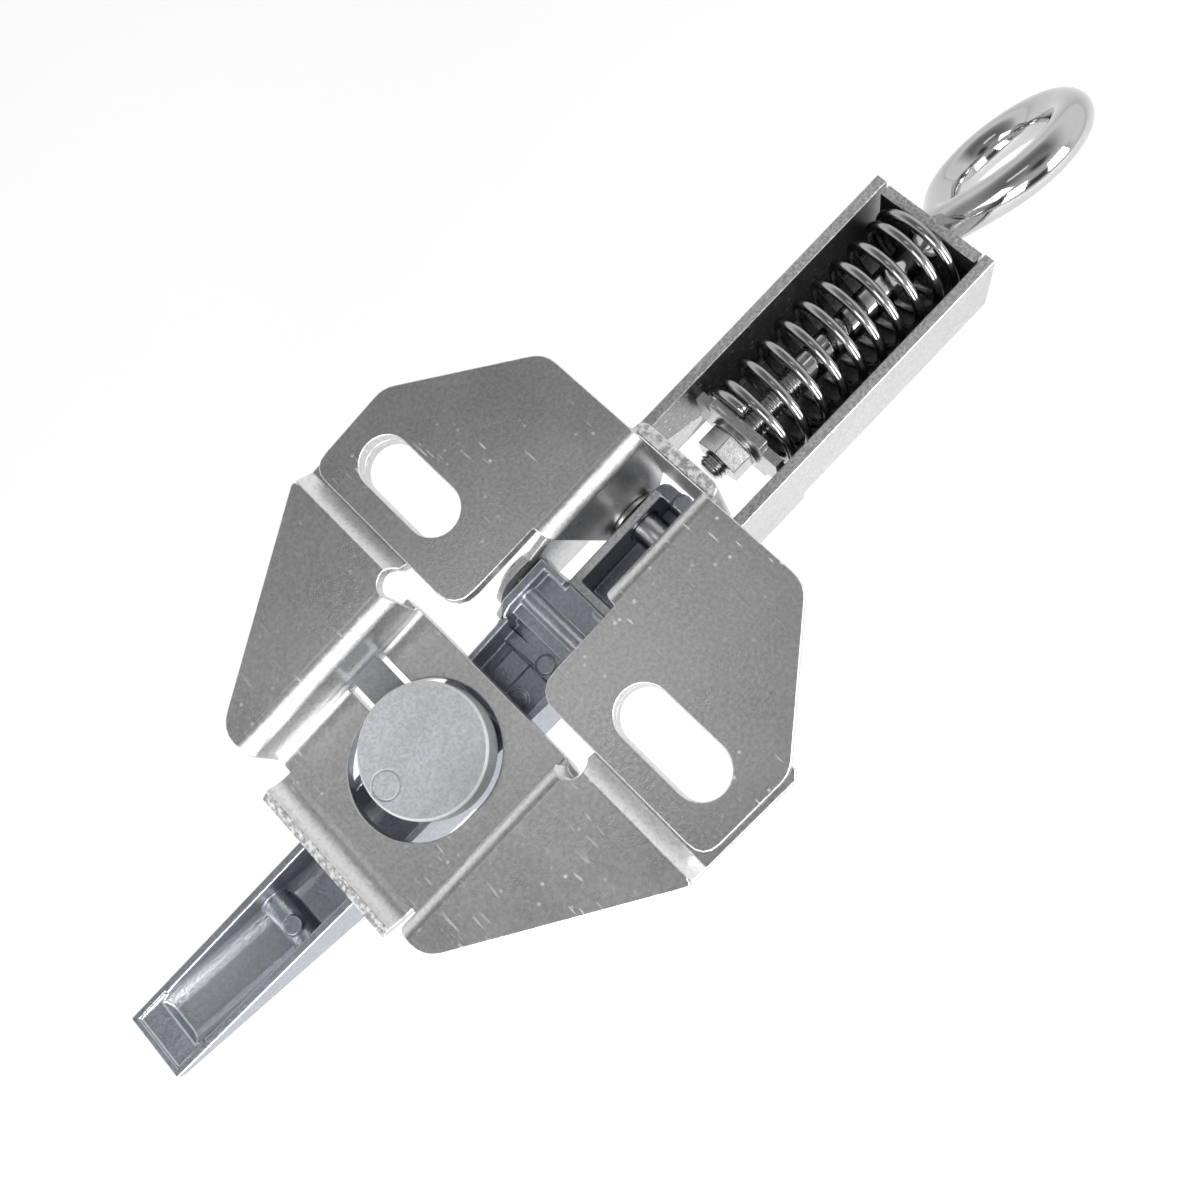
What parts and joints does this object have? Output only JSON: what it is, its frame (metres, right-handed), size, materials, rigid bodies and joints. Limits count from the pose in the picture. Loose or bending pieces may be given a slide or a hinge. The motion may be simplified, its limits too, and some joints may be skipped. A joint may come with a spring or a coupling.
{
  "type": "engine cover lock",
  "caption": "Lockable over-centre draw latch for an engine cover: pressed zinc-plated base with slots, hollow cast lever, sprung channel and a ringed eye bolt.",
  "frame": {"origin": "midway between the two mounting slots, on the mounting face of the wings", "axes": "+X along the latch towards the eye, +Y along the row of slots, +Z out of the mounting face into the panel; the lever hangs on the -Z side"},
  "size_m": [0.2169, 0.0912, 0.0331],
  "materials": {
    "zinc_sheet": "bright zinc plating on pressed sheet, scuffed",
    "cast_zinc": "matt grey die-casting",
    "bright_wire": "bright plated wire",
    "bright_steel": "bright plated turned steel",
    "spring_steel": "dark spring steel",
    "brass": "satin brass"
  },
  "bodies": {
    "base": {"hinge_plate": "zinc_sheet", "pocket_plate": "zinc_sheet", "pivot_pin": "bright_steel", "pivot_ring": "spring_steel", "pivot_washers": "bright_steel"},
    "lever": {"handle": "cast_zinc", "lock_body": "cast_zinc", "body_pin": "spring_steel", "crank_bush": "brass"},
    "lock": {"lock_plug": "brass", "lock_wafers": "brass", "plug_ring": "spring_steel", "lock_cam": "cast_zinc", "cam_pin": "spring_steel"},
    "draw": {"draw_channel": "zinc_sheet", "crank_pin": "bright_steel", "crank_ring": "spring_steel", "draw_spring": "bright_wire"},
    "seat": {"spring_seat": "zinc_sheet", "flat_washer": "bright_steel"},
    "eye": {"eye_bolt": "bright_wire", "hex_nut": "bright_steel"}
  },
  "joints": [
    {"name": "handle_hinge", "type": "hinge", "parent": "base", "child": "lever", "pos_m": [0.0215, 0, -0.0233], "axis": [0, -1, 0], "range_deg": [0, 110]},
    {"name": "draw_swing", "type": "hinge", "parent": "lever", "child": "draw", "pos_m": [0.0015, 0, -0.0205], "axis": [0, -1, 0], "range_deg": [-110, 0]},
    {"name": "eye_slide", "type": "slide", "parent": "draw", "child": "seat", "axis": [0.9993, 0, -0.0384], "range_m": [0, 0.012], "stiffness_N_per_m": 6500, "deforming": ["draw_spring"]},
    {"name": "eye_swivel", "type": "hinge", "parent": "seat", "child": "eye", "pos_m": [0.04362, 0, -0.01807], "axis": [0.9993, 0, -0.0384], "continuous": true},
    {"name": "key_turn", "type": "hinge", "parent": "lever", "child": "lock", "pos_m": [-0.0291, 0, -0.02], "axis": [0, 0, 1], "range_deg": [0, 90]}
  ],
  "couplings": [
    {"joint": "draw_swing", "follows": "handle_hinge", "ratio": -1}
  ]
}
